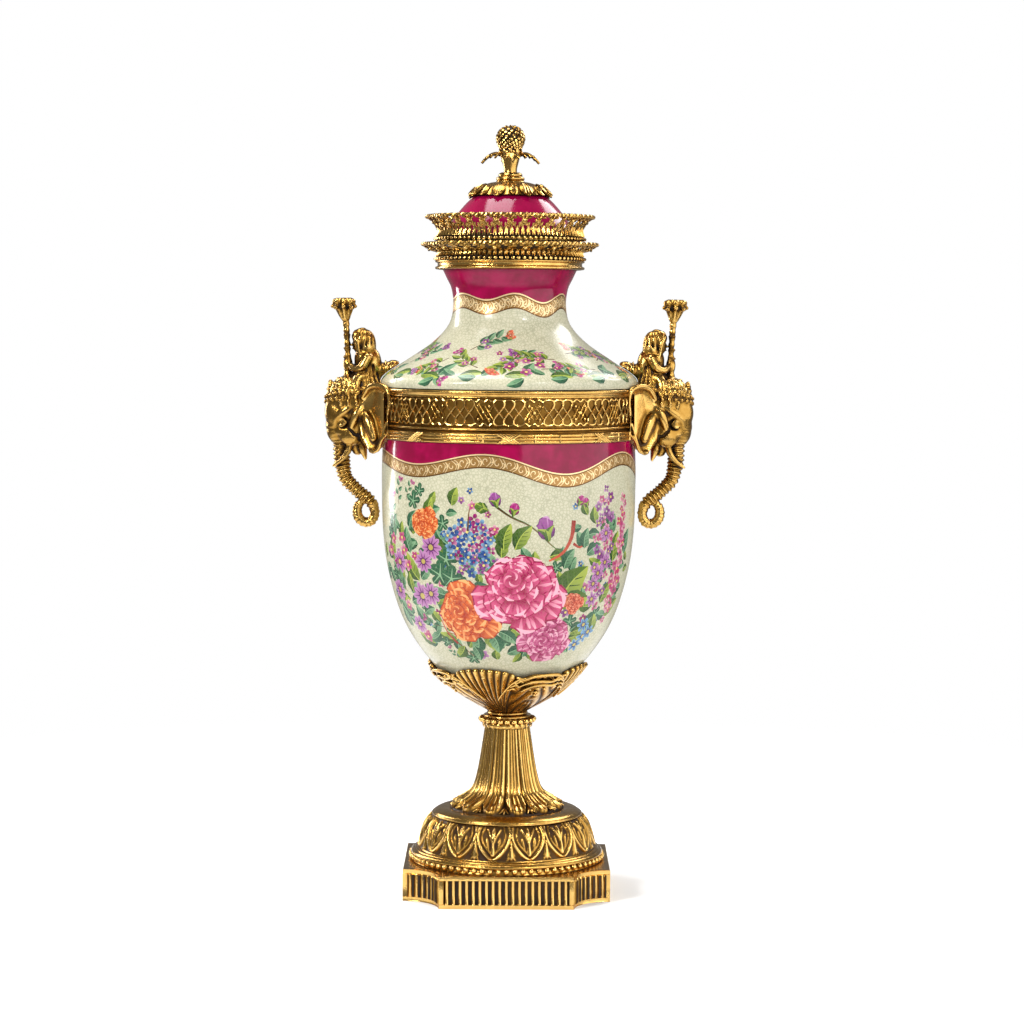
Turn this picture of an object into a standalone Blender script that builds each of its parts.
"""Covered porcelain vase in gilt bronze mounts, with two elephant handles.

Metres, +Z up. The origin is at the middle of the plinth's underside, the front faces -Y
and the elephants look out along -X and +X. Every separate piece is one closed object.
"""
import math

import bmesh
import bpy
from mathutils import Matrix, Vector

# ---- joints between pieces -------------------------------------------------------------
GAP = 0.0003                     # clearance between two pieces that touch
MERGE = 0.00001                  # merge distance of every modifier that merges
RING_STEPS = 28                  # sides of the large turned pieces
FRONT = -math.pi / 2             # angle of the front, counted from +X

# ---- plinth ----------------------------------------------------------------------------
PLINTH_SIDE = 0.200
PLINTH_HEIGHT = 0.031
PLINTH_NOTCH = 0.036             # radius of the hollow corners
NOTCH_STEPS = 6
PANEL_BORDER = 0.0042
PANEL_HEIGHT = 0.0226
SIDE_REEDS = 19
CORNER_REEDS = 7
REED_CREST = 0.0007              # how far the reeds lie behind the panel's border
REED_VALLEY = 0.0030
REED_BOW = 0.0002                # the crests of a straight panel lie on a very flat arc

# ---- heights of the seats, from the bottom up ------------------------------------------
FOOT_BASE = PLINTH_HEIGHT + GAP
STEM_BASE = 0.0803
COLLAR_BASE = 0.1604
CUP_BASE = 0.1762
BOWL_BASE = 0.1846
BAND_BASE = 0.4440
NECK_BASE = 0.4943
MOUTH_BASE = 0.6075
LID_RING_BASE = 0.6354
LID_BASE = 0.6402
FINIAL_BASE = 0.6868
FINIAL_TOP = 0.7470

# ---- counts of the repeated ornament ---------------------------------------------------
FOOT_LEAVES = 15
FOOT_PHASE = math.radians(15.0)   # a leaf's middle, counted from the front
STEM_BLADES = 12
STEM_PHASE = math.radians(12.0)
CUP_LOBES = 8
CUP_PHASE = math.radians(27.0)
CAP_PETALS = 12
CROWN_LEAVES = 4
CROWN_DROOP = math.radians(12.0)
CROWN_ARCH = (0.0150, 38.0)      # radius where a leaf is highest, and how it curves down

# ---- turned profiles, (radius, height), outer side from the top down -------------------
FOOT_SIDE = [(0.0560, 0.0800), (0.0735, 0.0742), (0.0800, 0.0640), (0.0845, 0.0520),
             (0.0868, 0.0430), (0.0945, 0.0370), (0.0945, FOOT_BASE)]
STEM_SIDE = [(0.0215, COLLAR_BASE - GAP), (0.0265, 0.1232), (0.0300, 0.1060),
             (0.0360, 0.0960), (0.0465, 0.0885), (0.0560, 0.0835), (0.0560, STEM_BASE)]
COLLAR_SIDE = [(0.0170, CUP_BASE - GAP), (0.0225, 0.1729), (0.0285, 0.1702),
               (0.0285, 0.1669), (0.0240, 0.1639), (0.0240, COLLAR_BASE)]
BOWL_SIDE = [(0.1228, BAND_BASE - GAP), (0.1238, 0.3990), (0.1225, 0.3540),
             (0.1170, 0.3140), (0.1040, 0.2710), (0.0840, 0.2370), (0.0570, 0.2073),
             (0.0320, 0.1912), (0.0180, BOWL_BASE)]
BOWL_WALL = 0.0045
CUP_SIDE = [(0.0805, 0.2272), (0.0710, 0.2159), (0.0610, 0.2060), (0.0500, 0.1961),
            (0.0350, 0.1861), (0.0170, CUP_BASE)]
BAND_SIDE = [(0.1232, NECK_BASE - GAP), (0.1200, 0.4857), (0.1200, 0.4588),
             (0.1225, 0.4564), (0.1205, 0.4532), (0.1250, 0.4485), (0.1235, BAND_BASE)]
BAND_BORE = 0.1080
NECK_SIDE = [(0.0648, MOUTH_BASE - GAP), (0.0565, 0.5892), (0.0547, 0.5732),
             (0.0590, 0.5550), (0.0745, 0.5375), (0.1000, 0.5200), (0.1190, 0.5073),
             (0.1250, 0.4998), (0.1235, NECK_BASE)]
NECK_WALL = 0.0045
LID_SIDE = [(0.0150, FINIAL_BASE - GAP), (0.0270, 0.6835), (0.0375, 0.6765),
            (0.0470, 0.6668), (0.0560, 0.6550), (0.0655, LID_BASE)]
LID_WALL = 0.0040
FINIAL_SIDE = [(0.0095, 0.7452), (0.0138, 0.7392), (0.0136, 0.7314), (0.0105, 0.7218),
               (0.0068, 0.7074), (0.0075, 0.6988), (0.0135, 0.6955), (0.0150, 0.6920)]

# ---- colours and finishes: (colour, roughness, metallic) -------------------------------
GILT = ((0.73, 0.47, 0.13), 0.30, 1.0)
CRIMSON = ((0.45, 0.01, 0.09), 0.12, 0.0)
CRACKLE = ((0.70, 0.69, 0.56), 0.15, 0.0)


# ---- small helpers ---------------------------------------------------------------------
def clear_scene():
    """Remove every object that the scene starts with."""
    for obj in list(bpy.data.objects):
        bpy.data.objects.remove(obj, do_unlink=True)


def collection(name):
    """Return a new collection linked to the scene."""
    group = bpy.data.collections.new(name)
    bpy.context.scene.collection.children.link(group)
    return group


def material(name, finish):
    """Return a Principled material of one colour, roughness and metallic value."""
    colour, roughness, metallic = finish
    mat = bpy.data.materials.new(name)
    mat.use_nodes = True
    shader = mat.node_tree.nodes["Principled BSDF"]
    shader.inputs["Base Color"].default_value = (*colour, 1.0)
    shader.inputs["Roughness"].default_value = roughness
    shader.inputs["Metallic"].default_value = metallic
    mat.diffuse_color = (*colour, 1.0)
    return mat


def add_object(name, mesh, group, mat=None):
    """Place a mesh in a collection as a named object."""
    obj = bpy.data.objects.new(name, mesh)
    group.objects.link(obj)
    if mat is not None:
        mesh.materials.append(mat)
    return obj


def baked_mesh(obj):
    """Return the object's evaluated mesh, in world space and welded."""
    bpy.context.view_layer.update()
    evaluated = obj.evaluated_get(bpy.context.evaluated_depsgraph_get())
    mesh = bpy.data.meshes.new_from_object(evaluated)
    mesh.transform(obj.matrix_world)
    edit = bmesh.new()
    edit.from_mesh(mesh)
    bmesh.ops.remove_doubles(edit, verts=edit.verts, dist=MERGE)
    edit.to_mesh(mesh)
    edit.free()
    return mesh


def radius_at(profile, height):
    """Return a profile's radius at a height, on straight lines between its points."""
    for (r_top, z_top), (r_low, z_low) in zip(profile, profile[1:]):
        if z_low <= height <= z_top:
            return r_low + (r_top - r_low) * (height - z_low) / (z_top - z_low)
    return profile[0][0] if height > profile[0][1] else profile[-1][0]


def turned(name, profile, group, mat, steps=RING_STEPS, closed=False):
    """Turn a profile about the vertical axis with a Screw modifier."""
    mesh = bpy.data.meshes.new(name)
    count = len(profile)
    edges = [(i, i + 1) for i in range(count - 1)]
    if closed:
        edges.append((count - 1, 0))
    mesh.from_pydata([(r, 0.0, z) for r, z in profile], edges, [])
    obj = add_object(name, mesh, group, mat)
    screw = obj.modifiers.new("turn", "SCREW")
    screw.steps = steps
    screw.render_steps = steps
    screw.use_merge_vertices = True
    screw.merge_threshold = MERGE
    return obj


def reshape(obj, rule):
    """Replace a turned object's mesh by one whose (angle, radius, height) follow a rule."""
    mesh = baked_mesh(obj)
    obj.modifiers.clear()
    for vertex in mesh.vertices:
        x, y, z = vertex.co
        radius = math.hypot(x, y)
        if radius > MERGE:
            angle = math.atan2(y, x)
            radius, z = rule(angle, radius, z)
            vertex.co = (radius * math.cos(angle), radius * math.sin(angle), z)
    obj.data = mesh
    return obj


def wave(angle, count, phase=0.0):
    """Return a cosine wave that repeats count times round the axis, highest at phase."""
    return math.cos(count * (angle - FRONT - phase))


# ---- plinth ----------------------------------------------------------------------------
def corner_arc(corner, radius, steps):
    """Return the points of a hollow corner of the plinth, in the order of the outline."""
    centre = Vector((corner[0], corner[1])) * PLINTH_SIDE / 2
    start = math.atan2(-corner[1], -corner[0]) + math.pi / 4
    return [centre + radius * Vector((math.cos(start - k * math.pi / 2 / steps),
                                      math.sin(start - k * math.pi / 2 / steps)))
            for k in range(steps + 1)]


def plate(name, outline, thickness, height, group):
    """Return a mesh object: a flat outline given a thickness, its underside at a height."""
    curve = bpy.data.curves.new(name, "CURVE")
    curve.dimensions = "2D"
    curve.fill_mode = "BOTH"
    curve.extrude = thickness / 2
    spline = curve.splines.new("POLY")
    spline.points.add(len(outline) - 1)
    for point, (x, y) in zip(spline.points, outline):
        point.co = (x, y, 0.0, 1.0)
    spline.use_cyclic_u = True
    drawn = add_object(name + "_outline", curve, group)
    drawn.location.z = height + thickness / 2
    mesh = baked_mesh(drawn)
    bpy.data.objects.remove(drawn, do_unlink=True)
    return add_object(name, mesh, group)


def reeded_line(count):
    """Return (place along 0..1, is_crest) for the zigzag of a panel of reeds."""
    return [(k / (2 * count), k % 2 == 1) for k in range(2 * count + 1)]


def side_panel(turn):
    """Return the outline cut from one flat side, with reeds left standing in it."""
    half = PLINTH_SIDE / 2 - PLINTH_NOTCH - PANEL_BORDER
    front = PLINTH_SIDE / 2
    points = []
    for place, crest in reeded_line(SIDE_REEDS):
        bow = REED_BOW * (1 - (2 * place - 1) ** 2)
        depth = REED_CREST + bow if crest else REED_VALLEY
        points.append(Vector((half * (1 - 2 * place), -front + depth)))
    points += [Vector((-half, -front - REED_VALLEY)), Vector((half, -front - REED_VALLEY))]
    return [(Matrix.Rotation(turn, 2) @ point)[:] for point in points]


def corner_panel(turn):
    """Return the outline cut from one hollow corner, with reeds left standing in it."""
    centre = Vector((PLINTH_SIDE / 2, -PLINTH_SIDE / 2))
    margin = PANEL_BORDER / PLINTH_NOTCH
    points = []
    for place, crest in reeded_line(CORNER_REEDS):
        angle = math.pi / 2 + margin + place * (math.pi / 2 - 2 * margin)
        radius = PLINTH_NOTCH + (REED_CREST if crest else REED_VALLEY)
        points.append(centre + radius * Vector((math.cos(angle), math.sin(angle))))
    for angle in (math.pi - margin, 3 * math.pi / 4, math.pi / 2 + margin):
        radius = PLINTH_NOTCH - 2 * REED_VALLEY
        points.append(centre + radius * Vector((math.cos(angle), math.sin(angle))))
    return [(Matrix.Rotation(turn, 2) @ point)[:] for point in points]


def make_plinth(group, cutters, mat):
    """Make the square plinth with hollow corners and reeded panels on every face."""
    outline = []
    for corner in ((1, -1), (1, 1), (-1, 1), (-1, -1)):
        outline += corner_arc(corner, PLINTH_NOTCH, NOTCH_STEPS)
    plinth = plate("plinth", outline, PLINTH_HEIGHT, 0.0, group)
    plinth.data.materials.append(mat)
    floor = (PLINTH_HEIGHT - PANEL_HEIGHT) / 2
    for k in range(4):
        for kind, panel in (("side", side_panel), ("corner", corner_panel)):
            cutter = plate(f"{kind}_panel_{k}", panel(k * math.pi / 2), PANEL_HEIGHT, floor,
                           cutters)
            cut(plinth, cutter)


def cut(obj, cutter, operation="DIFFERENCE"):
    """Add a Boolean modifier and hide its cutter from the finished object."""
    cutter.hide_render = True
    cutter.display_type = "WIRE"
    boolean = obj.modifiers.new(cutter.name, "BOOLEAN")
    boolean.operation = operation
    boolean.object = cutter


# ---- foot, stem and collar -------------------------------------------------------------
def make_foot(group, mat):
    """Make the round foot: a dome with a band of leaves above a beaded base ring."""
    top, bottom = FOOT_SIDE[0], FOOT_SIDE[-1]
    foot = turned("foot", [(0.0, top[1])] + FOOT_SIDE + [(0.0, bottom[1])], group, mat,
                  steps=3 * FOOT_LEAVES)
    leaf_top, leaf_low, relief = 0.0738, 0.0440, 0.0016

    def leaves(angle, radius, z):
        if leaf_low < z < leaf_top:
            radius += relief * wave(angle, FOOT_LEAVES, FOOT_PHASE)
        return radius, z

    return reshape(foot, leaves)


def make_stem(group, mat):
    """Make the stem of long blades that spread over the foot in rounded lobes."""
    top, bottom = STEM_SIDE[0], STEM_SIDE[-1]
    stem = turned("stem", [(0.0, top[1])] + STEM_SIDE + [(0.0, bottom[1])], group, mat,
                  steps=3 * STEM_BLADES)

    def blades(angle, radius, z):
        spread = (top[1] - z) / (top[1] - bottom[1])
        relief = 0.0006 + 0.0022 * spread ** 2
        return radius + relief * wave(angle, STEM_BLADES, STEM_PHASE), z

    return reshape(stem, blades)


def make_collar(group, mat):
    """Make the beaded collar between the stem and the cup."""
    top, bottom = COLLAR_SIDE[0], COLLAR_SIDE[-1]
    profile = [(0.0, top[1])] + COLLAR_SIDE + [(0.0, bottom[1])]
    return turned("collar", profile, group, mat, steps=16)


# ---- porcelain -------------------------------------------------------------------------
def make_cup(group, mat):
    """Make the cup of leaves and shells that holds the bowl, its rim rising in eight tips."""
    rim, fold, dip, clear = CUP_SIDE[0][1], CUP_BASE + 0.0310, 0.0110, 0.0010
    seat = BOWL_BASE - GAP
    held = [(r + clear, max(z, seat)) for r, z in reversed(BOWL_SIDE) if z < rim]
    held.append((radius_at(BOWL_SIDE, rim) + clear, rim))
    profile = [(0.0, seat)] + held + CUP_SIDE + [(0.0, CUP_BASE)]
    cup = turned("cup", profile, group, mat, steps=4 * CUP_LOBES)

    def lobes(angle, radius, z):
        if z < seat + clear:
            return radius, z
        inside = radius < radius_at(BOWL_SIDE, z) + 2 * clear
        if z > fold:
            lift = 0.5 + 0.5 * wave(angle, CUP_LOBES, CUP_PHASE)
            z -= dip * (1 - lift) * (z - fold) / (rim - fold)
        if inside:
            return radius_at(BOWL_SIDE, z) + clear, z
        share = (z - CUP_BASE) / (rim - CUP_BASE)
        relief = 0.0012 * wave(angle, 2 * CUP_LOBES, CUP_PHASE) * share
        return radius_at(CUP_SIDE, z) + relief, z

    return reshape(cup, lobes)


def make_bowl(group, mat):
    """Make the hollow porcelain bowl."""
    floor = BOWL_BASE + BOWL_WALL
    inner = [(r - BOWL_WALL, z) for r, z in BOWL_SIDE[:-2:2]]
    profile = [(0.0, floor), (0.0300, floor + 0.0060)] + list(reversed(inner))
    profile += BOWL_SIDE + [(0.0, BOWL_BASE)]
    return turned("bowl", profile, group, mat)


def make_neck(group, mat):
    """Make the hollow neck and shoulder, open below into the bowl and above at the mouth."""
    inner = [(r - NECK_WALL, z) for r, z in NECK_SIDE[:-2:2]]
    inner.append((BAND_BORE, NECK_BASE))
    profile = NECK_SIDE + list(reversed(inner))
    return turned("neck", profile, group, mat, closed=True)


def make_lid(group, mat):
    """Make the domed hollow lid."""
    inner = [(r - 0.6 * LID_WALL, z - 0.8 * LID_WALL) for r, z in LID_SIDE[1:-1:2]]
    inner.append((LID_SIDE[-1][0] - LID_WALL, LID_BASE))
    top = FINIAL_BASE - GAP
    profile = [(0.0, top)] + LID_SIDE + list(reversed(inner)) + [(0.0, top - LID_WALL)]
    return turned("lid", profile, group, mat, steps=20)


# ---- bronze rings ----------------------------------------------------------------------
def make_band(group, mat):
    """Make the band that joins bowl and shoulder: mouldings, a frieze and a reed ring."""
    bore = [(BAND_BORE, BAND_BASE), (BAND_BORE, NECK_BASE - GAP)]
    return turned("band", BAND_SIDE + bore, group, mat, closed=True)


def flared_tier(low, high, rim_radius):
    """Return the outer and inner side of a flared tier, from its rim to its beaded foot."""
    rise = high - low
    outer = [(rim_radius, high - 0.0030), (rim_radius - 0.0085, high - 0.0080),
             (0.0702, low + 0.30 * rise), (0.0725, low + 0.0022), (0.0715, low)]
    inner = [(rim_radius - 0.0020, high), (rim_radius - 0.0100, high - 0.0060),
             (0.0680, low + 0.32 * rise)]
    return outer, inner


def make_mouth_mount(group, mat):
    """Make the mount on the mouth: a plain ring, a bead row and a flared pierced tier."""
    tier_low = 0.6176
    outer, inner = flared_tier(tier_low, 0.6335, 0.0865)
    seat = LID_RING_BASE - GAP
    ring = [(0.0692, tier_low - 0.0006), (0.0692, MOUTH_BASE)]
    wall = [(0.0600, MOUTH_BASE), (0.0600, seat), (0.0650, seat)]
    return turned("mouth_mount", outer + ring + wall + list(reversed(inner)), group, mat,
                  closed=True)


def make_lid_ring(group, mat):
    """Make the lid's own flared pierced tier, with the ledge that the lid sits on."""
    outer, inner = flared_tier(LID_RING_BASE + 0.0004, 0.6605, 0.0828)
    foot = [(0.0610, LID_RING_BASE), (0.0610, LID_BASE - GAP)]
    inner[-1] = (inner[-1][0], LID_BASE - GAP)
    outer[-1] = (outer[-1][0], LID_RING_BASE)
    return turned("lid_ring", outer + foot + list(reversed(inner)), group, mat,
                  closed=True)


def make_finial(group, cutters, mat):
    """Make the finial: a cap of petals, a knop, a crown of drooping leaves and a pine cone."""
    dome = [(0.0270, 0.6893), (0.0365, 0.6835), (0.0402, 0.6778)]
    under = [(0.0385, 0.6771), (0.0280, 0.6843), (0.0160, FINIAL_BASE)]
    profile = [(0.0, FINIAL_TOP)] + FINIAL_SIDE + dome + under + [(0.0, FINIAL_BASE)]
    finial = turned("finial", profile, group, mat, steps=2 * CAP_PETALS)

    def petals(angle, radius, z):
        if radius > 0.0380:
            lift = wave(angle, CAP_PETALS)
            return radius + 0.0012 * lift, z - 0.0008 * lift
        return radius, z

    reshape(finial, petals)
    leaves = bmesh.new()
    for k in range(CROWN_LEAVES):
        place = (Matrix.Rotation(math.radians(5.0) + k * 2 * math.pi / CROWN_LEAVES, 4, "Z")
                 @ Matrix.Translation((0.0160, 0.0, 0.7177))
                 @ Matrix.Rotation(CROWN_DROOP, 4, "Y")
                 @ Matrix.Diagonal((0.0125, 0.0070, 0.0030, 1.0)))
        bmesh.ops.create_uvsphere(leaves, u_segments=8, v_segments=4, radius=1.0, matrix=place)
    for vertex in leaves.verts:
        reach = math.hypot(vertex.co.x, vertex.co.y) - CROWN_ARCH[0]
        vertex.co.z -= CROWN_ARCH[1] * reach ** 2
    mesh = bpy.data.meshes.new("crown_leaves")
    leaves.to_mesh(mesh)
    leaves.free()
    cut(finial, add_object("crown_leaves", mesh, cutters), "UNION")
    return finial


# ---- elephant handles ------------------------------------------------------------------
# Places are (out, aside, up): out from the vase's axis, aside towards the viewer's right
# when looking out along the elephant, up from the floor.
HEAD_FORMS = {
    "skull": ((0.1575, 0.0, 0.4660), (0.0220, 0.0205, 0.0260)),
    "nape": ((0.1340, 0.0, 0.4660), (0.0250, 0.0210, 0.0260)),
    "muzzle": ((0.1600, 0.0, 0.4450), (0.0160, 0.0145, 0.0150)),
    "headdress": ((0.1530, 0.0, 0.4840), (0.0240, 0.0215, 0.0230)),
    "rosette": ((0.1735, 0.0, 0.4945), (0.0050, 0.0065, 0.0065)),
    "torso": ((0.1391, 0.0, 0.5130), (0.0098, 0.0110, 0.0150)),
    "shoulders": ((0.1400, 0.0, 0.5205), (0.0100, 0.0135, 0.0065)),
    "hood": ((0.1428, 0.0, 0.5395), (0.0112, 0.0110, 0.0110)),
    "face": ((0.1455, 0.0, 0.5330), (0.0085, 0.0080, 0.0095)),
    "bundle": ((0.1295, 0.0, 0.5165), (0.0080, 0.0105, 0.0155)),
    "bulb": ((0.1569, 0.0, 0.5150), (0.0053, 0.0053, 0.0085)),
}
PAIRED_FORMS = {
    "cheek": ((0.1500, 0.0120, 0.4470), (0.0120, 0.0080, 0.0130)),
    "brow": ((0.1640, 0.0140, 0.4630), (0.0095, 0.0060, 0.0060)),
    "arm": ((0.1470, 0.0085, 0.5120), (0.0080, 0.0042, 0.0042)),
    "knee": ((0.1460, 0.0120, 0.5040), (0.0100, 0.0055, 0.0060)),
}
TRUNK = [((0.1600, 0.0, 0.4480), 0.0150), ((0.1620, 0.0, 0.4340), 0.0125),
         ((0.1628, 0.0, 0.4200), 0.0095), ((0.1605, 0.0, 0.4060), 0.0088),
         ((0.1545, 0.0, 0.3960), 0.0088), ((0.1465, 0.0, 0.3880), 0.0084),
         ((0.1385, 0.0, 0.3820), 0.0076), ((0.1318, 0.0, 0.3750), 0.0064),
         ((0.1300, 0.0, 0.3665), 0.0056), ((0.1345, 0.0, 0.3598), 0.0053),
         ((0.1420, 0.0, 0.3588), 0.0052), ((0.1478, 0.0, 0.3640), 0.0050),
         ((0.1483, 0.0, 0.3715), 0.0047), ((0.1450, 0.0, 0.3770), 0.0042)]
JAW = [((0.1450, 0.0, 0.4420), 0.0085), ((0.1415, 0.0, 0.4330), 0.0058),
       ((0.1392, 0.0, 0.4210), 0.0022)]
TUSK = [((0.1530, 0.0125, 0.4370), 0.0030), ((0.1610, 0.0120, 0.4270), 0.0026),
        ((0.1695, 0.0105, 0.4150), 0.0020)]
PLUME = [((0.1555, 0.0, 0.5050), 0.0044), ((0.1575, 0.0, 0.5330), 0.0042),
         ((0.1595, 0.0, 0.5580), 0.0046), ((0.1612, 0.0, 0.5680), 0.0085),
         ((0.1618, 0.0, 0.5745), 0.0125), ((0.1618, 0.0, 0.5798), 0.0128)]
BOLSTER = [((0.1330, 0.0, 0.5118), 0.0070), ((0.1110, 0.0, 0.5135), 0.0066)]
# The ear is drawn as it shows from the front, and leans away from the head by its flare.
EAR = [(0.1342, 0.4955), (0.1253, 0.4962), (0.1154, 0.4915), (0.1135, 0.4830),
       (0.1164, 0.4672), (0.1160, 0.4514), (0.1214, 0.4426), (0.1263, 0.4300),
       (0.1362, 0.4322), (0.1411, 0.4436), (0.1440, 0.4554), (0.1420, 0.4700),
       (0.1400, 0.4850)]
EAR_ROOT = (0.1410, 0.0215)      # out and aside of the line that the ear turns about
EAR_FLARE = math.radians(46.0)
EAR_THICK = 0.0055
HANDLE_VOXEL = 0.0012
HANDLE_FACES = 0.0105            # share of the modelled faces that is kept


def add_ball(edit, centre, radii):
    """Add an ellipsoid to a mesh under construction."""
    place = Matrix.Translation(centre) @ Matrix.Diagonal((*radii, 1.0))
    bmesh.ops.create_uvsphere(edit, u_segments=20, v_segments=12, radius=1.0, matrix=place)


def limb(name, stations, group):
    """Return the mesh of a round tapering limb through (place, radius) stations."""
    curve = bpy.data.curves.new(name, "CURVE")
    curve.dimensions = "3D"
    curve.bevel_depth = 1.0
    curve.bevel_resolution = 4
    curve.use_fill_caps = True
    spline = curve.splines.new("NURBS")
    spline.points.add(len(stations) - 1)
    for point, (place, radius) in zip(spline.points, stations):
        point.co = (*place, 1.0)
        point.radius = radius
    spline.order_u = min(4, len(stations))
    spline.use_endpoint_u = True
    spline.resolution_u = 6
    drawn = add_object(name, curve, group)
    mesh = baked_mesh(drawn)
    bpy.data.objects.remove(drawn, do_unlink=True)
    return mesh


def make_handle(group, cutters, mat):
    """Make the left handle: elephant head, ears, trunk, rider and plume in one casting."""
    edit = bmesh.new()
    for centre, radii in HEAD_FORMS.values():
        add_ball(edit, centre, radii)
    for (out, aside, up), radii in PAIRED_FORMS.values():
        for hand in (-1, 1):
            add_ball(edit, (out, hand * aside, up), radii)
    for name, stations in (("trunk", TRUNK), ("jaw", JAW), ("plume", PLUME),
                           ("bolster", BOLSTER)):
        edit.from_mesh(limb(name, stations, group))
    for hand in (-1, 1):
        stations = [((out, hand * aside, up), radius) for (out, aside, up), radius in TUSK]
        edit.from_mesh(limb("tusk", stations, group))
        outline = [((out - EAR_ROOT[0]) / math.cos(EAR_FLARE), up) for out, up in EAR]
        ear = plate("ear", outline, EAR_THICK, -EAR_THICK / 2, cutters)
        place = (Matrix.Translation((EAR_ROOT[0], hand * EAR_ROOT[1], 0.0))
                 @ Matrix.Rotation(-hand * EAR_FLARE, 4, "Z")
                 @ Matrix.Rotation(math.pi / 2, 4, "X"))
        ear.data.transform(place)
        edit.from_mesh(ear.data)
        bpy.data.objects.remove(ear, do_unlink=True)
    mesh = bpy.data.meshes.new("elephant")
    edit.to_mesh(mesh)
    edit.free()

    left = add_object("elephant_handle_left", mesh, group, mat)
    left.rotation_euler.z = math.pi
    fuse = left.modifiers.new("fuse", "REMESH")
    fuse.mode = "VOXEL"
    fuse.voxel_size = HANDLE_VOXEL
    soften = left.modifiers.new("soften", "SMOOTH")
    soften.iterations = 2
    soften.factor = 0.5
    thin = left.modifiers.new("thin", "DECIMATE")
    thin.ratio = HANDLE_FACES

    clear = 0.0008
    outline = NECK_SIDE[4:-1] + BAND_SIDE + BOWL_SIDE[1:4]
    wall = [(r + clear, z) for r, z in outline]
    seat = turned("handle_seat", [(0.0, wall[0][1])] + wall + [(0.0, wall[-1][1])], cutters,
                  None, steps=72)
    seat_mesh = baked_mesh(seat)
    seat.modifiers.clear()
    seat.data = seat_mesh
    cut(left, seat)
    finished = baked_mesh(left)
    left.modifiers.clear()
    left.rotation_euler.z = 0.0
    left.data = finished
    right = bpy.data.objects.new("elephant_handle_right", finished)
    group.objects.link(right)
    right.rotation_euler.z = math.pi
    return left, right


# ---- assembly --------------------------------------------------------------------------
def main():
    """Build every piece of the vase."""
    clear_scene()
    vase = collection("covered_vase")
    cutters = collection("cutters")
    gilt = material("gilt_bronze", GILT)
    crimson = material("crimson_glaze", CRIMSON)
    crackle = material("crackle_glaze", CRACKLE)
    make_plinth(vase, cutters, gilt)
    make_foot(vase, gilt)
    make_stem(vase, gilt)
    make_collar(vase, gilt)
    make_cup(vase, gilt)
    make_bowl(vase, crackle)
    make_band(vase, gilt)
    make_neck(vase, crackle)
    make_mouth_mount(vase, gilt)
    make_lid_ring(vase, gilt)
    make_lid(vase, crimson)
    make_finial(vase, cutters, gilt)
    make_handle(vase, cutters, gilt)


main()
